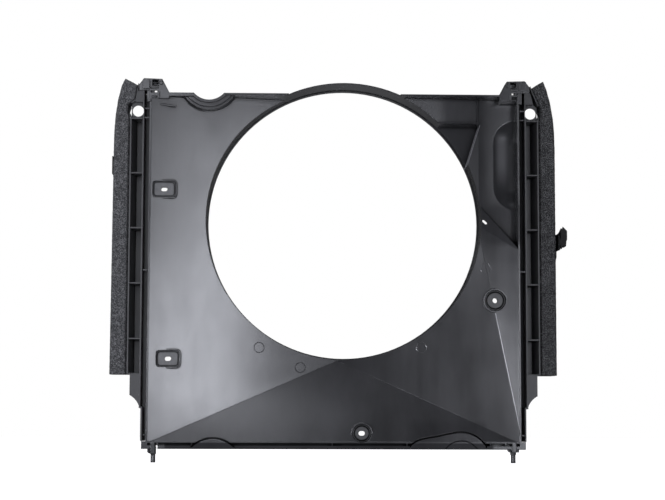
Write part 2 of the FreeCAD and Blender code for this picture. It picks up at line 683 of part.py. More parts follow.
def isolator_seat(centre, outline, neck):
    """The framed pocket that an isolator sits in: the solid to add and the spaces to cut."""
    face_y = facet_depth(*centre)
    floor_y = face_y + ISOLATOR_THICK + ISOLATOR_SEAT
    back_y = floor_y + SEAT_WALL
    block = outline(ISOLATOR_GAP + SEAT_WALL, face_y - SEAT_PROUD, back_y)
    space = outline(ISOLATOR_GAP, -SEAT_CLEAR, floor_y)
    passage = square(centre, neck, ISOLATOR_SEAT, floor_y - 1, back_y + 1)
    keeper_room = square(centre, neck, ISOLATOR_KEEPER + ISOLATOR_GAP, back_y, back_y + SEAT_CLEAR)
    return block, [space, passage, keeper_room]


def isolator(centre, outline, hole, neck):
    """A moulded rubber isolator: front pad, square neck through the panel and rear keeper."""
    face_y = facet_depth(*centre)
    pad_back = face_y + ISOLATOR_THICK
    keeper_y = pad_back + 2 * ISOLATOR_SEAT + SEAT_WALL
    front = outline(0, face_y, pad_back)
    if neck == PAD_NECK:
        half = [length / 2 - PAD_RIM for length in PAD_SIZE]
        front = front.cut(square(centre, half, 0, face_y - 1, face_y + PAD_RECESS))
    middle = square(centre, neck, 0, pad_back - 1, keeper_y + 1)
    keeper = square(centre, neck, ISOLATOR_KEEPER, keeper_y, keeper_y + ISOLATOR_BACK)
    return front.fuse([middle, keeper]).cut(hole).removeSplitter()


def slot_pieces(side):
    """Tabs that bridge the slot beside the panel, and the plate that closes its lower corner."""
    reach = SLOT_WIDTH - RAIL_GAP
    parts = [side_box(side, -1, reach, *TAB_REACH_Y, z - TAB_WALL / 2, z + TAB_WALL / 2) for z in TAB_ZS[:3]]
    low = TAB_ZS[3]
    tab_low, tab_high = low - TAB_WALL / 2, low + TAB_WALL / 2
    parts.append(side_box(side, -1, RAIL_LEG[0] - RAIL_GAP, *TAB_REACH_Y, tab_low, tab_high))
    plate_top = RAIL_LOW_Z - RAIL_GAP
    parts.append(side_box(side, -1, CORNER_PLATE_WIDTH, 0, CORNER_PLATE_DEPTH, PANEL_BOTTOM, plate_top))
    return parts


def bay_details():
    """Lit ledge over the deep pocket and the low rib between bay and shelf."""
    (_, pocket_z), (pocket_x, _) = POCKET_CORNERS[0], POCKET_CORNERS[1]
    ledge = box(
        LEDGE_START_X, pocket_x - PANEL_WALL, BAY_DEPTH - LEDGE_REACH, BAY_DEPTH + 1,
        pocket_z, pocket_z + LEDGE_HEIGHT,
    )
    rib = box(
        BAY_SHELF_X - BAY_RIB_WALL, BAY_SHELF_X, BAY_DEPTH - BAY_RIB_HEIGHT, BAY_DEPTH + 1,
        pocket_z, PANEL_TOP - PANEL_WALL,
    )
    return [ledge, rib]


def streak_rib():
    """Low rib on the upper left facet."""
    x, z = STREAK_CENTRE
    length, height = STREAK_SIZE
    y = facet_depth(x, z)
    y0, y1 = facet_depth(x - length / 2, z) - STREAK_PROUD, y + PANEL_WALL
    rib = box(x - length / 2, x + length / 2, y0, y1, z - height / 2, z + height / 2)
    return turned(rib, x, z, STREAK_ANGLE).cut(behind(y + PANEL_WALL / 2, 0, 0))


def shroud_panel():
    """The main moulding: funnel, frame, fan ring, housings and pins."""
    void = funnel_void(0)
    skin = funnel_void(PANEL_WALL).cut(void)
    ring = ring_tube().cut(void)
    webs = [web.cut(void) for web in gussets()]
    extras = frame_rim() + bay_details() + [saddle(), streak_rib()]
    spaces = [ring_bore(), saddle_notch(), arch_line()]
    for centre, outline, _, neck in isolators().values():
        block, cuts = isolator_seat(centre, outline, neck)
        extras.append(block)
        spaces += cuts
    solids, trenches = swellings(void)
    extras += solids
    spaces += trenches
    for side in SIDES.values():
        solids, window = housing(side)
        extras += solids + slot_pieces(side)
        spaces.append(window)
    spaces.append(bottom_groove().cut([shape(0, -BIG, BIG) for shape in (moon, hump)]))
    x0, x1, z1 = PIN_NOTCH
    spaces.append(box(x0, x1, -PANEL_WALL, BIG, PANEL_BOTTOM - 1, z1))
    slot = obround(*STEP_SLOT, *STEP_SLOT_SIZE, 0, BIG)
    spaces.append(turned(slot, *STEP_SLOT, STEP_SLOT_ANGLE))
    body = skin.fuse([ring] + extras).fuse(webs).cut(spaces)
    body = body.fuse([pin(PIN_LEFT_X, PIN_LEFT_FIN), pin(PIN_RIGHT_X, PIN_RIGHT_FIN)])
    return biggest_solid(body.removeSplitter())


def side_rail(side, foam_points):
    """Open channel with cross ribs that carries a foam strip beside the panel."""
    u_in, u_out, wall = SLOT_WIDTH, SLOT_WIDTH + CHANNEL_WIDTH, RAIL_WALL
    foot = u_out - CHANNEL_FLOOR_INSET
    floor_back = FLOOR_Y + wall
    tail_low = RAIL_TAIL_Z - RAIL_TAIL_HEIGHT
    slope_wall = [
        (u_out - wall, 0), (u_out, 0), (u_out, CHANNEL_LIP), (foot + wall, floor_back), (foot, floor_back),
        (foot - wall / 5, FLOOR_Y), (u_out - wall, CHANNEL_LIP),
    ]
    outer = column(side, slope_wall, RAIL_FOOT_Z, RAIL_TOP_Z + wall)
    inner = side_box(side, u_in, u_in + wall, 0, FLOOR_Y + 1, tail_low, CAP_LOW_Z)
    floor = side_box(side, u_in, foot + 1, FLOOR_Y, floor_back, RAIL_FOOT_Z, RAIL_TOP_Z)
    web = side_box(side, RAIL_GAP, u_in + wall, FLOOR_Y, floor_back, RAIL_LOW_Z, CAP_TOP_Z)
    carrier = side_box(side, foot + 1, CARRIER_EDGE, CARRIER_Y, CARRIER_Y + wall, RAIL_FOOT_Z, RAIL_TOP_Z)
    carrier_top = side_slab(
        side,
        [
            (u_in, RAIL_TOP_Z - 1), (CARRIER_EDGE, RAIL_TOP_Z - 1), (CARRIER_TOP_EDGE, CARRIER_TOP_Z),
            (CARRIER_TOP_IN, CARRIER_TOP_Z), (u_in, CAP_LOW_Z),
        ],
        CARRIER_Y, CARRIER_Y + wall,
    )
    hole_x = side[0] + side[1] * HOLE_OUT
    before, behind_plate = HOLE_RELIEF
    relief = disc(hole_x, HOLE_Z, HOLE_R + before, -wall, HOLE_PLATE_Y + wall)
    relief = relief.fuse(disc(hole_x, HOLE_Z, HOLE_R + behind_plate, HOLE_PLATE_Y + wall, 2 * CHANNEL_DEPTH))
    relief = relief.common(side_box(side, u_in + wall / 3, CARRIER_EDGE, -BIG, BIG, RAIL_TOP_Z + wall / 2, BIG))
    slit = side_box(side, HOLE_PLATE_OUT, FOAM_INNER - RAIL_GAP, -wall, 2 * CHANNEL_DEPTH, *EDGE_GAP_Z)
    body = outer.fuse([inner, floor, web, carrier, carrier_top] + rail_ribs(side) + rail_foot(side))
    return body.cut([relief, slit]).fuse([hole_plate(side), rail_cap(side), rail_edge(side, foam_points)])


def rail_ribs(side):
    """Cross ribs that close the channel's section."""
    u_in, u_out = SLOT_WIDTH + 1, SLOT_WIDTH + CHANNEL_WIDTH - 1
    foot = u_out - CHANNEL_FLOOR_INSET
    section = [
        (u_in, RIB_SET_BACK), (u_out, RIB_SET_BACK), (u_out, CHANNEL_LIP), (foot, FLOOR_Y + 1), (u_in, FLOOR_Y + 1),
    ]
    heights = [RAIL_TOP_Z - i * RIB_PITCH for i in range(RIB_COUNT)] + [RAIL_FOOT_Z + RIB_WALL / 2]
    return [column(side, section, z - RIB_WALL / 2, z + RIB_WALL / 2) for z in heights]


def rail_foot(side):
    """Flat end of the rail with a hollow corner, and the narrow leg below it."""
    edge_x, out = side

    def at(u, z):
        return V(edge_x + out * u, 0, z)

    low_z = RAIL_TAIL_Z - RAIL_TAIL_HEIGHT
    start, end = at(RAIL_TAIL_WIDTH, RAIL_TAIL_Z), at(SLOT_WIDTH + RAIL_WALL / 2, low_z)
    hollow = at(SLOT_WIDTH + RAIL_TAIL_HOLLOW[0], RAIL_TAIL_Z - RAIL_TAIL_HOLLOW[1])
    curve = Part.Arc(start, hollow, end).toShape()
    top_z = RAIL_FOOT_Z + 1
    corners = [end, at(SLOT_WIDTH, low_z), at(SLOT_WIDTH, top_z), at(RAIL_TAIL_WIDTH, top_z), start]
    lines = [Part.makeLine(a, b) for a, b in zip(corners, corners[1:])]
    tail = Part.Face(Part.Wire([curve] + lines)).extrude(V(0, RAIL_WALL, 0))
    leg = side_box(side, *RAIL_LEG, 0, FLOOR_Y + 1, RAIL_LOW_Z, low_z + RAIL_WALL)
    step = side_box(side, RAIL_LEG[0], SLOT_WIDTH + RAIL_WALL, 0, FLOOR_Y + 1, low_z, low_z + RAIL_WALL)
    return [tail, leg, step]


def hole_plate(side):
    """Plate with the round hole at the head of the channel."""
    top_out = CAP_LOW_OUT
    plate = side_slab(
        side,
        [
            (SLOT_WIDTH, RAIL_TOP_Z - 1), (HOLE_PLATE_OUT, RAIL_TOP_Z - 1),
            (HOLE_PLATE_OUT, CAP_LOW_Z - RAIL_WALL * 3),
            (top_out, CAP_LOW_Z), (SLOT_WIDTH, CAP_LOW_Z),
        ],
        HOLE_PLATE_Y, HOLE_PLATE_Y + RAIL_WALL,
    )
    return plate.cut(disc(side[0] + side[1] * HOLE_OUT, HOLE_Z, HOLE_R, 0, 4 * HOLE_PLATE_Y))


def rail_cap(side):
    """Closed head of the rail above the hole, with a shelf along its lower edge."""
    u_in, back = SLOT_WIDTH, CARRIER_Y + RAIL_WALL
    front = side_slab(
        side,
        [(u_in, CAP_LOW_Z), (CAP_LOW_OUT, CAP_LOW_Z), (CAP_TOP_OUT, CAP_TOP_Z), (u_in, CAP_TOP_Z)],
        CAP_FRONT_Y, CAP_FRONT_Y + RAIL_WALL,
    )
    wall = side_box(side, u_in, u_in + RAIL_WALL, CAP_FRONT_Y, back, CAP_LOW_Z - 1, CAP_TOP_Z)
    shelf_back = HOLE_PLATE_Y + RAIL_WALL
    shelf_low, shelf_top = CAP_LOW_Z - CAP_SHELF, CAP_LOW_Z + RAIL_GAP
    shelf = side_box(side, u_in, CAP_LOW_OUT, CAP_FRONT_Y, shelf_back, shelf_low, shelf_top)
    return front.fuse([wall, shelf])


def rail_edge(side, foam_points):
    """Thin wall that leads along the foam's inner edge from the channel up to the housing."""
    outer = FOAM_INNER - RAIL_GAP
    low_z, high_z = EDGE_GAP_Z
    line = [FOAM_TOP_IN] + [point for point in foam_points if point[1] > high_z and point[0] < FOAM_NOTCH_OUT]
    near = [(u - RAIL_GAP, z) for u, z in line]
    far = [(u - RAIL_GAP - EDGE_WALL, z - EDGE_WALL) for u, z in reversed(line)]
    wall = side_slab(side, near + far, CAP_FRONT_Y, CARRIER_Y + RAIL_WALL)
    foot = side_box(side, outer - EDGE_WALL, outer, CAP_FRONT_Y, CARRIER_Y + 1, RAIL_TOP_Z, low_z)
    return wall.fuse(foot)


def foam_strip(side, outline):
    """Foam seal whose outer edge curves in at the top and ends in a sloped tip."""
    edge_x, out = side

    def at(u, z):
        return V(edge_x + out * u, FOAM_FRONT_Y, z)

    edge, foot = (outline["edge"], FOAM_CURVE_Z), (outline["foot"], RAIL_FOOT_Z)
    curve = Part.Arc(at(*edge), at(*outline["shoulder"]), at(*outline["crest"])).toShape()
    tip = Part.Arc(at(*outline["crest"]), at(*outline["tip"]), at(*outline["apex"])).toShape()
    rest = [outline["apex"], FOAM_TOP_IN, *outline["inner"], (FOAM_INNER, RAIL_FOOT_Z), foot, edge]
    lines = [Part.makeLine(at(*a), at(*b)) for a, b in zip(rest, rest[1:])]
    return Part.Face(Part.Wire([curve, tip] + lines)).extrude(V(0, FOAM_THICK, 0))


def spring_clip(side):
    """Bent sheet spring that lines a housing's pocket."""
    width, height, depth = HOUSE_POCKET
    centre = side[0] - side[1] * HOUSE_POCKET_IN
    half, w, lead = height / 2 - SPRING_GAP, SPRING_WALL, SPRING_LEAD
    entry = half - SPRING_ENTRY
    y0, y1 = SPRING_SET_BACK, depth - SPRING_GAP
    upper = [(y0, entry), (y0 + w, entry - w), (y0 + lead + w, half - w), (y1 - w, half - w)]
    outline = upper + [(y, -z) for y, z in reversed(upper)]
    outline += [(y0 + lead, -half), (y1, -half), (y1, half), (y0 + lead, half)]
    x0 = centre - width / 2 + SPRING_GAP
    loop = [V(x0, y, HOUSE_POCKET_Z + z) for y, z in outline]
    return Part.Face(Part.makePolygon(loop + loop[:1])).extrude(V(width - 2 * SPRING_GAP, 0, 0))


def rivet_hole(radius):
    """Hole for the rivet through the clip's foot and the rail's ear."""
    return disc(PANEL_RIGHT + CLIP_RIVET_U, CLIP_RIVET_Z, radius, 0, 2 * CHANNEL_DEPTH)


def clip_ear():
    """Ear on the right rail that carries the harness clip."""
    right = SIDES["right"]
    ear = side_box(right, CARRIER_EDGE - 1, CLIP_EAR_OUT, CARRIER_Y, CARRIER_Y + RAIL_WALL, *CLIP_EAR_Z)
    return ear.cut(rivet_hole(CLIP_RIVET_R + 0.2))


def clip_shape():
    """Outline that trims every piece of the clip."""
    return side_slab(SIDES["right"], CLIP_OUTLINE, -CHANNEL_DEPTH, 2 * CHANNEL_DEPTH)


def hinge_cylinder(radius, z0, z1):
    return Part.makeCylinder(radius, z1 - z0, V(PANEL_RIGHT + CLIP_HINGE_U, CLIP_HINGE_Y, z0), AXIS_Z)


def hinge_bore():
    return hinge_cylinder(CLIP_PIN_R + CLIP_PIN_GAP, 2 * CLIP_Z[0], 0)


def harness_clip_base():
    """Saddle of the harness clip: foot, two walls, hinge knuckles and a hanging tail."""
    right = SIDES["right"]
    back_y = CARRIER_Y - RAIL_GAP
    front_y = back_y - CLIP_WALL
    inner_wall = CLIP_IN + CLIP_WALL
    foot = side_box(right, CLIP_FOOT_IN, CLIP_OUT, front_y, back_y, *CLIP_FOOT_Z)
    back = side_box(right, CLIP_IN, CLIP_OUT, front_y, back_y, *CLIP_Z)
    inner = side_box(right, CLIP_IN, inner_wall, CLIP_HINGE_Y + CLIP_KNUCKLE_R + CLIP_GAP, back_y, *CLIP_Z)
    outer = side_box(right, CLIP_OUT - CLIP_WALL, CLIP_OUT, CLIP_HINGE_Y, back_y, *CLIP_Z)
    body = foot.fuse([back, inner, outer]).common(clip_shape())
    rivet_room = disc(PANEL_RIGHT + CLIP_RIVET_U, CLIP_RIVET_Z, CLIP_RIVET_HEAD_R + CLIP_GAP, 0, front_y)
    knuckles = []
    for z0, z1 in CLIP_KNUCKLES:
        knuckles.append(hinge_cylinder(CLIP_KNUCKLE_R, z0, z1))
        root_back = CLIP_HINGE_Y + 2 * CLIP_WALL
        knuckles.append(side_box(right, CLIP_IN, inner_wall, CLIP_HINGE_Y, root_back, z0, z1))
    tail = side_slab(right, CLIP_TAIL, back_y - CLIP_TAIL_DEPTH, back_y)
    body = body.cut(rivet_room).fuse(knuckles + [tail])
    return body.cut([hinge_bore(), rivet_hole(CLIP_RIVET_R + 0.2)]).removeSplitter()


def harness_clip_cover():
    """Hinged front flap of the harness clip, with a snap lip on its free edge."""
    right = SIDES["right"]
    y0, y1 = CLIP_FLAP_Y
    free = CLIP_OUT + CLIP_GAP
    flap = side_box(right, CLIP_FLAP_IN, free + CLIP_LIP, y0, y1, *CLIP_Z)
    lip = side_box(right, free, free + CLIP_LIP, y0, y0 + CLIP_LIP_DEPTH, *CLIP_Z)
    link = side_box(right, CLIP_HINGE_U, CLIP_FLAP_IN + 1, y0, y1, *CLIP_MID_KNUCKLE)
    knuckle = hinge_cylinder(CLIP_KNUCKLE_R, *CLIP_MID_KNUCKLE)
    return flap.fuse(lip).common(clip_shape()).fuse([link, knuckle]).cut(hinge_bore()).removeSplitter()


def harness_clip_pin():
    """Plain hinge pin of the cover."""
    return hinge_cylinder(CLIP_PIN_R, CLIP_KNUCKLES[0][0] - CLIP_GAP, CLIP_KNUCKLES[1][1] + CLIP_GAP)


def harness_clip_rivet():
    """Expanding rivet that holds the clip's foot on the rail's ear."""
    x, z = PANEL_RIGHT + CLIP_RIVET_U, CLIP_RIVET_Z
    front_y = CARRIER_Y - RAIL_GAP - CLIP_WALL
    ear_back = CARRIER_Y + RAIL_WALL
    head = disc(x, z, CLIP_RIVET_HEAD_R, front_y - CLIP_RIVET_HEAD, front_y - 0.2)
    return head.fuse(disc(x, z, CLIP_RIVET_R, front_y - 1, ear_back + CLIP_RIVET_HEAD))


def left_edge_clip():
    """Spring clip that wraps the edge of the left foam strip."""
    left = SIDES["left"]
    z0, z1 = EDGE_CLIP_Z
    near, far = EDGE_CLIP_OUT
    y_back = CARRIER_Y + RAIL_WALL + RAIL_GAP
    inset = EDGE_CLIP_LEG_INSET
    leg = side_box(left, EDGE_CLIP_LEG_IN, far, y_back, y_back + EDGE_CLIP_WALL, z0 + inset, z1 - inset)
    web = side_box(left, near, far, EDGE_CLIP_FRONT_Y, y_back + EDGE_CLIP_WALL, z0, z1)
    return web.fuse(leg)


SIDES = {"left": (PANEL_LEFT, -1), "right": (PANEL_RIGHT, 1)}


def main():
    os.makedirs("parts", exist_ok=True)
    nodes = {"shroud_panel": shroud_panel()}
    for name, side in SIDES.items():
        rail = side_rail(side, FOAM_OUTLINES[name]["inner"])
        if name == "right":
            rail = rail.fuse(clip_ear())
        nodes[name + "_side_rail"] = biggest_solid(rail.removeSplitter())
        nodes[name + "_foam_seal"] = foam_strip(side, FOAM_OUTLINES[name])
        nodes[name + "_spring_clip"] = spring_clip(side)
    for name, features in isolators().items():
        nodes[name] = isolator(*features)
    nodes["harness_clip_base"] = harness_clip_base()
    nodes["harness_clip_cover"] = harness_clip_cover()
    nodes["harness_clip_pin"] = harness_clip_pin()
    nodes["harness_clip_rivet"] = harness_clip_rivet()
    nodes["left_edge_clip"] = left_edge_clip()
    for name, shape in nodes.items():
        bounds = shape.BoundBox
        corners = (bounds.XMin, bounds.XMax, bounds.YMin, bounds.YMax, bounds.ZMin, bounds.ZMax)
        print(name, shape.isValid(), len(shape.Solids), round(shape.Volume), [round(v, 1) for v in corners])
        shape.exportStep("parts/" + name + ".step")


main()
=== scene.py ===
"""Looks of the radiator fan shroud: studio, camera, surface finishes and the soft foam seals.

Metres, in the same frame as the solids: X to the right, Y towards the engine, Z up, fan axis at the origin.
"""
import bpy
import json
import math
from mathutils import Matrix, Vector, noise

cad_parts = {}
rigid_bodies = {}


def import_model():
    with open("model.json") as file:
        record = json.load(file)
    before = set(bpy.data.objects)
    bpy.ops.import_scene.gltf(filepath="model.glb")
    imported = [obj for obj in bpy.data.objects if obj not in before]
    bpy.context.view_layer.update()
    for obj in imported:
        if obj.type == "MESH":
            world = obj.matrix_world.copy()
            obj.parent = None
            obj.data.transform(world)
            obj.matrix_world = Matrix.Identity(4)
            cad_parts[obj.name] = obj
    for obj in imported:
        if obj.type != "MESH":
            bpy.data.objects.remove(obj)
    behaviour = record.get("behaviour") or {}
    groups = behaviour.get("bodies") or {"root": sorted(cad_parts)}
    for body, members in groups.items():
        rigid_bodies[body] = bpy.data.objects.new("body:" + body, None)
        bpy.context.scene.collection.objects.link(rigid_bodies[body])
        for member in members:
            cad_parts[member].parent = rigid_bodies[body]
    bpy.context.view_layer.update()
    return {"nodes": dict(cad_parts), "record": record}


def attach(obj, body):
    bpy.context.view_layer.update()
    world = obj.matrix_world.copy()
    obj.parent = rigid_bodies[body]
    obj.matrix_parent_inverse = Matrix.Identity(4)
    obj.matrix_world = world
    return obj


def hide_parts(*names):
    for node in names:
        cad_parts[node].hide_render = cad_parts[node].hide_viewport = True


MM = 0.001

# Strength of the surroundings' reflections
WORLD_FILL = 0.06

# Soft lights, placed round the object by turn to the right of its front and by rise, in degrees,
# with their width and height in metres and their power in watts
LIGHTS = {
    "left": {"turn": -41.0, "rise": -4.0, "width": 0.8, "height": 0.45, "watts": 48.0},
    "key": {"turn": 22.0, "rise": 1.0, "width": 0.55, "height": 1.0, "watts": 20.5},
    "key_side": {"turn": 15.0, "rise": -1.0, "width": 0.4, "height": 0.6, "watts": 7.0},
    "key_high": {"turn": 20.0, "rise": 13.0, "width": 0.5, "height": 0.35, "watts": 3.3},
    "front": {"turn": -6.0, "rise": 1.5, "width": 0.45, "height": 0.5, "watts": 8.0},
    "front_high": {"turn": -15.5, "rise": 15.0, "width": 0.85, "height": 0.45, "watts": 6.0},
    "top": {"turn": -16.0, "rise": 58.0, "width": 0.9, "height": 0.7, "watts": 12.5},
    "edge_left": {"turn": -80.0, "rise": 15.0, "width": 1.2, "height": 1.2, "watts": 26.0},
    "edge_right": {"turn": 74.0, "rise": 15.0, "width": 1.2, "height": 1.2, "watts": 20.0},
    "edge_top": {"turn": 0.0, "rise": 88.0, "width": 1.6, "height": 1.0, "watts": 24.0},
}
LIGHT_TINT = (0.90, 0.92, 1.0)
LIGHT_AWAY = 3.2
LIGHT_CENTRE = (0.0, 0.0, -0.06)

# Camera, from the round ring and the straight frame of the photograph: angles in degrees, lens in millimetres
CAMERA_ELEVATION = -5.83
CAMERA_AZIMUTH = -1.59
CAMERA_ROLL = 0.16
CAMERA_DISTANCE = 3.0
CAMERA_TARGET = (-0.0205, 0.0, -0.0538)
CAMERA_LENS = 94.78

# Edges of the panel and the foam's outline, in millimetres outwards from the edge and in height
PANEL_LEFT = -336.0
PANEL_RIGHT = 302.0
FOAM_FRONT = 2.5
FOAM_BACK = 32.2
FOAM_SIDES = {
    "left": {
        "edge": PANEL_LEFT, "out": -1, "apex": (42.9, 241.9),
        "inner": (
            (34.8, -267.3), (34.8, 178.6), (38.4, 179.6), (38.4, 199.4), (32.6, 201.0), (25.4, 206.0),
            (24.2, 212.0), (20.9, 233.6),
        ),
        "outer": ((62.8, -267.3), (61.0, 125.0), (60.6, 150.0), (58.6, 180.0), (54.4, 208.0), (48.6, 231.0)),
    },
    "right": {
        "edge": PANEL_RIGHT, "out": 1, "apex": (42.9, 243.2),
        "inner": (
            (34.8, -267.3), (34.8, 178.6), (38.4, 179.6), (38.4, 199.4), (34.9, 200.2), (20.9, 233.6),
        ),
        "outer": ((62.4, -267.3), (62.4, 125.0), (61.8, 152.0), (59.9, 177.0), (55.0, 206.0), (48.3, 231.0)),
    },
}

# Mesh of the foam strips in millimetres and steps: rows, sides, tip, soft edge, and its torn surface
FOAM_ROW = 2.6
FOAM_WIDTH_STEPS = 14
FOAM_DEPTH_STEPS = 12
FOAM_TIP_ROWS = 10
FOAM_SOFT = 2.2
FOAM_SOFT_SHARE = 0.9
FOAM_TIP_NARROWING = 0.25
FOAM_TIP_THINNING = 0.3
FOAM_TORN = 0.55
FOAM_TORN_SIZE = 3.2

# Creases of the panel that get a painted highlight, by their two ends, and the moulding tool's round marks by
# centre and radius, all in X and Z in millimetres
CREASES = (((261.0, -160.0), (300.6, -365.0)), ((238.0, 171.5), (214.0, 96.0)))
CREASE_WIDTH = 1.8
MOULD_MARKS = (
    ((-145.6, -219.2), 8.6), ((-74.3, -252.9), 8.6), ((135.2, -218.1), 8.6), ((245.0, -81.7), 8.6),
)
MARK_WIDTH = 1.6
MARK_HEIGHT = 0.14

# Patches of painted shade on the panel: share of the gloss that is taken away to darken them, then in X and
# in Z the places in millimetres where the patch begins, is full, starts to fade and ends
SHADED_GLOSS_PATCHES = (
    (0.6, (70.0, 130.0, 235.0, 262.0), (-60.0, -10.0, 400.0, 500.0)),
    (0.28, (160.0, 185.0, 235.0, 262.0), (-60.0, -10.0, 400.0, 500.0)),
    (0.7, (-230.0, -90.0, 20.0, 80.0), (-360.0, -255.0, -150.0, -100.0)),
    (0.7, (235.0, 262.0, 300.0, 308.0), (-48.0, -34.0, 20.0, 45.0)),
    (0.6, (104.0, 118.0, 238.0, 252.0), (-381.5, -379.5, -352.0, -342.0)),
    (0.95, (-306.0, -302.0, 252.0, 256.0), (-500.0, -400.0, -383.5, -381.5)),
)

# Painted highlight along the scoop, in X and in Z in the same way
SCOOP_HIGHLIGHT_PATCH = ((262.0, 274.0, 278.0, 294.0), (52.0, 110.0, 142.0, 164.0))

# Painted shade of narrow places, with its share for a closed and for an open place, then the tones of the
# painted highlight on the creases and of the painted highlight along the scoop
NOOK_SHADE_BLACK = (0.001, 0.001, 0.001)
NOOK_CLOSED = 0.15
NOOK_OPEN = 1.0
NOOK_LIMITS = (0.25, 0.85)
CREASE_HIGHLIGHT = (0.2, 0.2, 0.21)
SCOOP_HIGHLIGHT = (0.085, 0.085, 0.088)

# Plastics: two tones, roughness, depth of the grain, radius of the edges, gloss, reach of the painted shade
# in narrow places, and the share of the tone and gloss that the painted shade leaves at the right edge;
# lengths in millimetres
PLASTICS = {
    "shroud_plastic": {
        "name": "shroud_finish", "dark": (0.02, 0.02, 0.021), "light": (0.03, 0.03, 0.032),
        "rough": 0.17, "grain": 0.02, "edge": 2.0, "gloss": 0.5, "shade_reach": 8.0, "right": 1.0, "marked": True,
    },
    "rail_plastic": {
        "name": "rail_finish", "dark": (0.026, 0.026, 0.027), "light": (0.036, 0.036, 0.037),
        "rough": 0.38, "grain": 0.02, "edge": 0.8, "gloss": 0.5, "shade_reach": 5.0, "right": 0.65, "marked": False,
    },
    "clip_plastic": {
        "name": "clip_finish", "dark": (0.002, 0.002, 0.002), "light": (0.004, 0.004, 0.004),
        "rough": 0.45, "grain": 0.02, "edge": 0.4, "gloss": 0.12, "shade_reach": 8.0, "right": 1.0, "marked": False,
    },
    "rivet_plastic": {
        "name": "rivet_finish", "dark": (0.05, 0.05, 0.05), "light": (0.12, 0.12, 0.12),
        "rough": 0.45, "grain": 0.03, "edge": 0.3, "gloss": 0.5, "shade_reach": 8.0, "right": 1.0, "marked": False,
    },
}

# Frequencies per metre of the plastic's flow streaks, grain and uneven sheen
STREAKS = 11.0
GRAIN = 900.0
CLOUDS = 16.0

# Rubber and steel: frequencies per metre, and tones, with the painted shade of the rubber's groove
RUBBER_GRAIN = 700.0
RUBBER_DUST = 60.0
GROOVE_SHADE = (0.002, 0.002, 0.002)
STEEL_BRUSHED = 300.0
STEEL_DARK = (0.16, 0.16, 0.165)
STEEL_LIGHT = (0.3, 0.3, 0.31)

# Foam: frequencies per metre of its cells, specks and blotches, where the specks begin and are full, the span
# in metres over which painted shade darkens it to the right, and its tones at the right and at the left
FOAM_CELLS = 620.0
FOAM_SPECKS = 690.0
FOAM_BLOTCHES = 130.0
FOAM_SPECK_SHARE = 0.8
FOAM_SPECK_LIMITS = (0.47, 0.64)
FOAM_SHADE_SPAN = (-0.38, 0.35)
FOAM_DARK = ((0.003, 0.003, 0.003), (0.03, 0.03, 0.031))
FOAM_PALE = ((0.13, 0.13, 0.133), (0.17, 0.17, 0.174))
FOAM_RELIEF = 1.1

# Groove inside each isolator's rim, with painted shade in it: centre, half sizes and width in millimetres,
# with its shape and the pad's tone, lighter on the left pads and darker on the right and bottom ones as
# painted light and shade
ISOLATORS = {
    "upper_left_isolator": {
        "centre": (-310.0, 50.5), "half": (17.6, 11.7), "power": 7.0, "shade": 0.055, "rim": 2.0,
    },
    "lower_left_isolator": {
        "centre": (-300.5, -240.5), "half": (17.6, 11.7), "power": 7.0, "shade": 0.065, "rim": 2.4,
    },
    "right_isolator": {
        "centre": (260.5, -138.0), "half": (14.6, 14.6), "power": 2.0, "shade": 0.006, "rim": 3.8,
    },
    "bottom_isolator": {
        "centre": (30.5, -366.2), "half": (12.6, 12.6), "power": 2.0, "shade": 0.012, "rim": 5.0,
    },
}

# The floor lies just under the locating pins and keeps a faint shadow within this reach
FLOOR_Z = -0.4165
FLOOR_HALF = 8.0
FLOOR_SHADOW = 0.03
FLOOR_SHADE = (0.8, 0.8, 0.8)


def clear_default_scene():
    for obj in list(bpy.data.objects):
        bpy.data.objects.remove(obj)


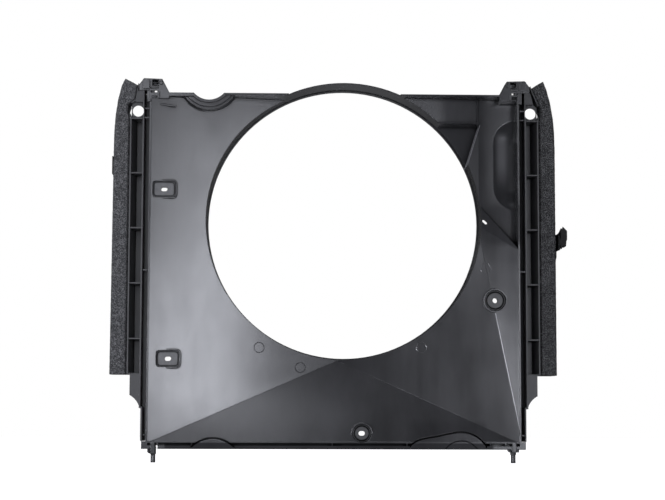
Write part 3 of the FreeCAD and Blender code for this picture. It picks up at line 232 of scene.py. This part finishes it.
class Tree:
    """Short form for building a material's nodes."""

    def __init__(self, name):
        self.material = bpy.data.materials.new(name)
        self.material.use_nodes = True
        self.nodes = self.material.node_tree.nodes
        self.links = self.material.node_tree.links
        self.bsdf = self.nodes["Principled BSDF"]
        self.place = self.add("ShaderNodeTexCoord").outputs["Object"]
        self.along = self.add("ShaderNodeSeparateXYZ", {"Vector": self.place}).outputs

    def add(self, kind, inputs=None, **settings):
        node = self.nodes.new(kind)
        for key, value in settings.items():
            setattr(node, key, value)
        for key, value in (inputs or {}).items():
            self.put(node.inputs[key], value)
        return node

    def put(self, socket, value):
        if isinstance(value, bpy.types.NodeSocket):
            self.links.new(value, socket)
        else:
            socket.default_value = value

    def stretched(self, x, y, z):
        """Place scaled by an amount on each axis."""
        return self.add("ShaderNodeMapping", {"Vector": self.place, "Scale": (x, y, z)}).outputs["Vector"]

    def noise(self, scale, detail=4.0, rough=0.55, vector=None):
        inputs = {"Vector": vector or self.place, "Scale": scale, "Detail": detail, "Roughness": rough}
        return self.add("ShaderNodeTexNoise", inputs).outputs["Fac"]

    def spread(self, value, low, high, start=0.3, end=0.7):
        """Value between start and end, mapped to low and high."""
        inputs = {"Value": value, "From Min": start, "From Max": end, "To Min": low, "To Max": high}
        return self.add("ShaderNodeMapRange", inputs).outputs["Result"]

    def math(self, kind, a, b=0.0):
        node = self.add("ShaderNodeMath", operation=kind)
        self.put(node.inputs[0], a)
        self.put(node.inputs[1], b)
        return node.outputs[0]

    def tint(self, fac, first, second):
        ramp = self.add("ShaderNodeMix", data_type="RGBA")
        self.put(ramp.inputs[0], fac)
        for socket, colour in ((ramp.inputs[6], first), (ramp.inputs[7], second)):
            self.put(socket, (*colour, 1.0) if isinstance(colour, tuple) else colour)
        return ramp.outputs[2]

    def rounded(self, radius):
        """Normal that looks as if every edge had this radius."""
        return self.add("ShaderNodeBevel", {"Radius": radius * MM}, samples=6).outputs["Normal"]

    def bump(self, height, distance, strength=1.0, normal=None):
        inputs = {"Height": height, "Distance": distance * MM, "Strength": strength}
        if normal is not None:
            inputs["Normal"] = normal
        return self.add("ShaderNodeBump", inputs).outputs["Normal"]

    def ramp(self, value, start, end, low, high):
        """Smooth change from low to high between two places in millimetres."""
        inputs = {"Value": value, "From Min": start * MM, "From Max": end * MM, "To Min": low, "To Max": high}
        return self.add("ShaderNodeMapRange", inputs, interpolation_type="SMOOTHSTEP").outputs["Result"]

    def band(self, distance, width):
        """One on a line, falling smoothly to zero at half the width in millimetres."""
        apart = self.math("ABSOLUTE", distance)
        inputs = {"Value": apart, "From Min": 0.0, "From Max": width / 2, "To Min": 1.0, "To Max": 0.0}
        return self.add("ShaderNodeMapRange", inputs, interpolation_type="SMOOTHSTEP").outputs["Result"]

    def ring_mark(self, centre, half, power, width):
        """Line of a width round a centre; the power makes it a circle (2) or a rounded square (more)."""
        share = None
        for axis, middle, reach in zip("XZ", centre, half):
            offset = self.math("SUBTRACT", self.along[axis], middle * MM)
            apart = self.math("MULTIPLY", offset, 1 / (reach * MM))
            part = self.math("POWER", self.math("ABSOLUTE", apart), power)
            share = part if share is None else self.math("ADD", share, part)
        apart = self.math("SUBTRACT", self.math("POWER", share, 1.0 / power), 1.0)
        return self.band(self.math("MULTIPLY", apart, min(half)), width)

    def line_mark(self, start, end, width):
        """Straight line of a width between two places in X and Z, in millimetres."""
        (x0, z0), (x1, z1) = start, end
        length = math.hypot(x1 - x0, z1 - z0)
        across = self.math("MULTIPLY", self.along["X"], (z1 - z0) / length / MM)
        rise = self.math("MULTIPLY", self.along["Z"], (x1 - x0) / length / MM)
        offset = (x0 * (z1 - z0) - z0 * (x1 - x0)) / length
        apart = self.math("SUBTRACT", self.math("SUBTRACT", across, rise), offset)
        below = self.math("LESS_THAN", self.along["Z"], max(z0, z1) * MM)
        above = self.math("GREATER_THAN", self.along["Z"], min(z0, z1) * MM)
        return self.math("MULTIPLY", self.band(apart, width), self.math("MULTIPLY", below, above))

    def patch(self, *reaches):
        """Soft patch in X and Z, by the places where it begins, is full, starts to fade and ends."""
        share = 1.0
        for axis, (start, full, fade, end) in zip("XZ", reaches):
            rise = self.ramp(self.along[axis], start, full, 0.0, 1.0)
            share = self.math("MULTIPLY", share, rise)
            share = self.math("MULTIPLY", share, self.ramp(self.along[axis], fade, end, 1.0, 0.0))
        return share

    def finish(self, **inputs):
        for key, value in inputs.items():
            self.put(self.bsdf.inputs[key.replace("_", " ")], value)
        return self.material


def moulded_plastic(name, dark, light, rough, grain, edge, gloss, shade_reach, right, marked):
    """Black moulded plastic: fine grain, faint flow streaks, uneven sheen, rounded edges and painted shade in
    narrow places and towards the right edge; marked ones also get painted highlights and patches of painted
    shade.
    """
    tree = Tree(name)
    streaks = tree.noise(STREAKS, 5.0, 0.6, tree.stretched(1.6, 1.0, 0.3))
    fine = tree.noise(GRAIN, 3.0, 0.6)
    cloud = tree.noise(CLOUDS, 6.0, 0.65)
    colour = tree.tint(tree.spread(streaks, 0.0, 1.0), dark, light)
    uneven = tree.spread(cloud, rough - 0.02, rough + 0.03)
    sheen = tree.math("ADD", uneven, tree.spread(streaks, -0.02, 0.035))
    normal = tree.bump(fine, grain, 1.0, tree.rounded(edge))
    # Painted shade in narrow places: black mixed into the tone and the gloss where the surroundings close in
    open_share = tree.add("ShaderNodeAmbientOcclusion", {"Distance": shade_reach * MM}, samples=6).outputs["AO"]
    nook_shade = tree.spread(open_share, NOOK_CLOSED, NOOK_OPEN, *NOOK_LIMITS)
    # Painted shade towards the right edge: tone and gloss fall there to the share given by right
    nook_shade = tree.math("MULTIPLY", nook_shade, tree.ramp(tree.along["X"], PANEL_LEFT, PANEL_RIGHT, 1.0, right))
    colour = tree.tint(nook_shade, NOOK_SHADE_BLACK, colour)
    shine = tree.math("MULTIPLY", nook_shade, gloss)
    if marked:
        relief = 0.0
        # Painted highlight on the creases, where the real rounded edges catch the light
        for start, end in CREASES:
            relief = tree.math("MAXIMUM", relief, tree.line_mark(start, end, CREASE_WIDTH))
        colour = tree.tint(relief, colour, CREASE_HIGHLIGHT)
        # Painted highlight along the scoop, where the real curved floor catches the light
        colour = tree.tint(tree.patch(*SCOOP_HIGHLIGHT_PATCH), colour, SCOOP_HIGHLIGHT)
        # Painted shade: the gloss is lowered in patches to darken them
        shine = tree.math("MULTIPLY", shine, shaded_gloss_share(tree))
        for centre, radius in MOULD_MARKS:
            relief = tree.math("MAXIMUM", relief, tree.ring_mark(centre, (radius, radius), 2.0, MARK_WIDTH))
        normal = tree.bump(relief, MARK_HEIGHT, 1.0, normal)
    return tree.finish(Base_Color=colour, Roughness=sheen, Specular_IOR_Level=shine, Normal=normal)


def shaded_gloss_share(tree):
    """Share of the gloss that the patches of painted shade leave."""
    kept = 1.0
    for share, *reaches in SHADED_GLOSS_PATCHES:
        kept = tree.math("SUBTRACT", kept, tree.math("MULTIPLY", tree.patch(*reaches), share))
    return kept


def foam_material():
    """Dark open foam: pits, pale specks, a dull, uneven surface and painted shade that darkens it to the
    right.
    """
    tree = Tree("foam_finish")
    cells = tree.add("ShaderNodeTexVoronoi", {"Vector": tree.place, "Scale": FOAM_CELLS})
    cell = cells.outputs["Distance"]
    speck = tree.noise(FOAM_SPECKS, 2.0, 0.7)
    blotch = tree.noise(FOAM_BLOTCHES, 5.0, 0.7)
    # Painted shade: the same foam is darker towards the right
    fade = tree.spread(tree.along["X"], 1.0, 0.0, *FOAM_SHADE_SPAN)
    broad = tree.math("MULTIPLY", blotch, 1.0 - FOAM_SPECK_SHARE)
    mixed = tree.math("ADD", tree.math("MULTIPLY", speck, FOAM_SPECK_SHARE), broad)
    bright = tree.spread(mixed, 0.0, 1.0, *FOAM_SPECK_LIMITS)
    colour = tree.tint(bright, tree.tint(fade, *FOAM_DARK), tree.tint(fade, *FOAM_PALE))
    relief = tree.math("ADD", tree.math("MULTIPLY", cell, 0.6), tree.math("MULTIPLY", speck, 0.8))
    normal = tree.bump(relief, FOAM_RELIEF)
    return tree.finish(Base_Color=colour, Roughness=0.92, Specular_IOR_Level=0.25, Normal=normal)


def rubber_material(name, centre, half, power, shade, rim):
    """Dusty rubber with painted shade in a groove inside the rim of the pad."""
    tree = Tree(name)
    fine = tree.noise(RUBBER_GRAIN, 4.0, 0.6)
    dust = tree.noise(RUBBER_DUST, 5.0, 0.7)
    groove = tree.ring_mark(centre, half, power, rim)
    dusty = (2 * shade, 2 * shade, 2.1 * shade)
    rubber = tree.tint(tree.spread(dust, 0.0, 1.0), (shade, shade, shade), dusty)
    # Painted shade in the groove
    colour = tree.tint(groove, rubber, GROOVE_SHADE)
    gloss = tree.math("SUBTRACT", 0.5, tree.math("MULTIPLY", groove, 0.5))
    relief = tree.bump(tree.math("SUBTRACT", 1.0, groove), 0.5, 1.0, tree.rounded(0.6))
    return tree.finish(
        Base_Color=colour, Roughness=tree.spread(dust, 0.36, 0.46), Specular_IOR_Level=gloss,
        Normal=tree.bump(fine, 0.03, 1.0, relief),
    )


def steel_material():
    tree = Tree("spring_finish")
    brushed = tree.noise(STEEL_BRUSHED, 3.0, 0.5, tree.stretched(1.0, 8.0, 8.0))
    colour = tree.tint(tree.spread(brushed, 0.0, 1.0), STEEL_DARK, STEEL_LIGHT)
    sheen = tree.spread(brushed, 0.3, 0.5)
    return tree.finish(Base_Color=colour, Metallic=1.0, Roughness=sheen, Normal=tree.rounded(0.3))


def floor_material():
    """Seamless pale floor that keeps only a faint shadow where something stands on it."""
    tree = Tree("floor_finish")
    contact = tree.add("ShaderNodeAmbientOcclusion", {"Distance": FLOOR_SHADOW}, samples=8).outputs["AO"]
    shade = tree.tint(tree.spread(contact, 0.0, 1.0, 0.2, 0.9), FLOOR_SHADE, (1.0, 1.0, 1.0))
    seen = tree.add("ShaderNodeLightPath").outputs["Is Camera Ray"]
    return tree.finish(
        Base_Color=(0.9, 0.9, 0.9, 1.0), Roughness=0.9, Specular_IOR_Level=0.0,
        Emission_Color=shade, Emission_Strength=seen,
    )


def paint(obj, material):
    obj.data.materials.clear()
    obj.data.materials.append(material)


def at_height(points, z):
    """Distance outwards where a broken line crosses a height."""
    for (u0, z0), (u1, z1) in zip(points, points[1:]):
        if z0 <= z <= z1:
            return u0 + (u1 - u0) * (z - z0) / (z1 - z0)
    return points[-1][0]


def foam_seal(name, shape, material):
    """Lofted strip with soft edges and a rough surface, inside the outline of its solid."""
    inner, outer = shape["inner"], shape["outer"]
    top = outer[-1][1]
    steps = int((top - inner[0][1]) / FOAM_ROW)
    heights = [inner[0][1] + (top - inner[0][1]) * step / steps for step in range(steps + 1)]
    loops = [section((at_height(inner, h), h), (at_height(outer, h), h), shape["apex"], 0.0) for h in heights]
    for step in range(1, FOAM_TIP_ROWS + 1):
        loops.append(section((at_height(inner, top), top), outer[-1], shape["apex"], step / FOAM_TIP_ROWS))
    edge, out = shape["edge"], shape["out"]
    verts = [Vector(((edge + out * u) * MM, y * MM, z * MM)) for loop in loops for u, y, z in loop]
    count = len(loops[0])
    faces = []
    for row in range(len(loops) - 1):
        for k in range(count):
            a, b = row * count + k, row * count + (k + 1) % count
            faces.append((a, b, b + count, a + count))
    faces.append(tuple(range(count))[::-1])
    last = (len(loops) - 1) * count
    faces.append(tuple(range(last, last + count)))
    mesh = bpy.data.meshes.new(name)
    mesh.from_pydata(verts, [], faces)
    mesh.update()
    obj = bpy.data.objects.new(name, mesh)
    bpy.context.scene.collection.objects.link(obj)
    roughen(mesh)
    for polygon in mesh.polygons:
        polygon.use_smooth = True
    paint(obj, material)
    return obj


def section(inner, outer, apex, crest):
    """Closed section of the strip between its two edges; crest lifts the middle up to the sloped tip."""
    ring = [(k / FOAM_WIDTH_STEPS, 0.0) for k in range(FOAM_WIDTH_STEPS)]
    ring += [(1.0, k / FOAM_DEPTH_STEPS) for k in range(FOAM_DEPTH_STEPS)]
    ring += [(1.0 - k / FOAM_WIDTH_STEPS, 1.0) for k in range(FOAM_WIDTH_STEPS)]
    ring += [(0.0, 1.0 - k / FOAM_DEPTH_STEPS) for k in range(FOAM_DEPTH_STEPS)]
    width = math.dist(inner, outer)
    depth = FOAM_BACK - FOAM_FRONT
    apex_share = (apex[0] - inner[0]) / (outer[0] - inner[0])
    result = []
    for s, t in ring:
        ds = max(0.0, FOAM_SOFT - min(s, 1.0 - s) * width) / FOAM_SOFT
        dt = max(0.0, FOAM_SOFT - min(t, 1.0 - t) * depth) / FOAM_SOFT
        pull = FOAM_SOFT * max(0.0, 1.0 - math.sqrt(max(0.0, 1.0 - min(1.0, ds * dt)))) * FOAM_SOFT_SHARE
        shrink = FOAM_TIP_NARROWING * crest ** 3
        across = s + (0.5 - s) * 2 * pull / width
        across += (apex_share - across) * shrink
        back = t + (0.5 - t) * 2 * pull / depth
        back += (0.5 - back) * shrink * FOAM_TIP_THINNING
        lift = across / apex_share if across < apex_share else (1.0 - across) / (1.0 - apex_share)
        u = inner[0] + (outer[0] - inner[0]) * across
        z = inner[1] + (outer[1] - inner[1]) * across + (apex[1] - inner[1]) * lift * crest
        result.append((u, FOAM_FRONT + depth * back, z))
    return result


def roughen(mesh):
    """Moves points inwards by an uneven amount, so the strip looks torn and porous."""
    normals = [vertex.normal.copy() for vertex in mesh.vertices]
    for vertex, normal in zip(mesh.vertices, normals):
        value = noise.fractal(vertex.co / (FOAM_TORN_SIZE * MM), 0.8, 2.0, 3)
        vertex.co -= normal * (FOAM_TORN * MM * (0.5 + 0.5 * max(-1.0, min(1.0, value))))
    mesh.update()


def direction(turn, rise):
    """Unit vector towards a place round the object."""
    turn, rise = math.radians(turn), math.radians(rise)
    return Vector((math.sin(turn) * math.cos(rise), -math.cos(turn) * math.cos(rise), math.sin(rise)))


def soft_light(name, turn, rise, width, height, watts):
    data = bpy.data.lights.new(name, "AREA")
    data.shape = "RECTANGLE"
    data.size = width
    data.size_y = height
    data.energy = watts
    data.color = LIGHT_TINT
    obj = bpy.data.objects.new(name, data)
    bpy.context.scene.collection.objects.link(obj)
    obj.location = Vector(LIGHT_CENTRE) + direction(turn, rise) * LIGHT_AWAY
    obj.rotation_mode = "QUATERNION"
    obj.rotation_quaternion = (-direction(turn, rise)).to_track_quat("-Z", "Y")


def surroundings():
    """White to the camera and faint in the reflections."""
    world = bpy.data.worlds.new("studio")
    bpy.context.scene.world = world
    world.use_nodes = True
    nodes, links = world.node_tree.nodes, world.node_tree.links
    ground = nodes["Background"]
    ground.inputs["Color"].default_value = (1, 1, 1, 1)
    path = nodes.new("ShaderNodeLightPath")
    strength = nodes.new("ShaderNodeMapRange")
    strength.inputs["To Min"].default_value = WORLD_FILL
    strength.inputs["To Max"].default_value = 1.0
    links.new(path.outputs["Is Camera Ray"], strength.inputs["Value"])
    links.new(strength.outputs["Result"], ground.inputs["Strength"])


def white_floor():
    corners = [(x * FLOOR_HALF, y * FLOOR_HALF, FLOOR_Z) for x, y in ((-1, -1), (1, -1), (1, 1), (-1, 1))]
    mesh = bpy.data.meshes.new("floor")
    mesh.from_pydata(corners, [], [(0, 1, 2, 3)])
    floor = bpy.data.objects.new("floor", mesh)
    bpy.context.scene.collection.objects.link(floor)
    paint(floor, floor_material())


def camera():
    back = direction(CAMERA_AZIMUTH, CAMERA_ELEVATION)
    right = (-back).cross(Vector((0, 0, 1))).normalized()
    up = right.cross(-back)
    roll = math.radians(CAMERA_ROLL)
    side = right * math.cos(roll) + up * math.sin(roll)
    head = up * math.cos(roll) - right * math.sin(roll)
    data = bpy.data.cameras.new("camera")
    data.sensor_width = 36.0
    data.lens = CAMERA_LENS
    obj = bpy.data.objects.new("camera", data)
    bpy.context.scene.collection.objects.link(obj)
    turn = Matrix((side, head, back)).transposed()
    obj.matrix_world = Matrix.Translation(Vector(CAMERA_TARGET) + back * CAMERA_DISTANCE) @ turn.to_4x4()
    bpy.context.scene.camera = obj


clear_default_scene()
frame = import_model()
nodes = frame["nodes"]

bpy.context.scene.view_settings.view_transform = "Standard"
surroundings()
white_floor()
for name, values in LIGHTS.items():
    soft_light(name, **values)
camera()

FINISHES = {slot: moulded_plastic(**values) for slot, values in PLASTICS.items()}
FINISHES["foam"] = foam_material()
FINISHES["spring_steel"] = steel_material()
for part in frame["record"]["subparts"]:
    name = part["node"]
    if name in ISOLATORS:
        paint(nodes[name], rubber_material(name, **ISOLATORS[name]))
    else:
        paint(nodes[name], FINISHES[part["material_slot"]])

for side, shape in FOAM_SIDES.items():
    seal = foam_seal(side + "_foam", shape, FINISHES["foam"])
    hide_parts(side + "_foam_seal")
    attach(seal, "shroud")
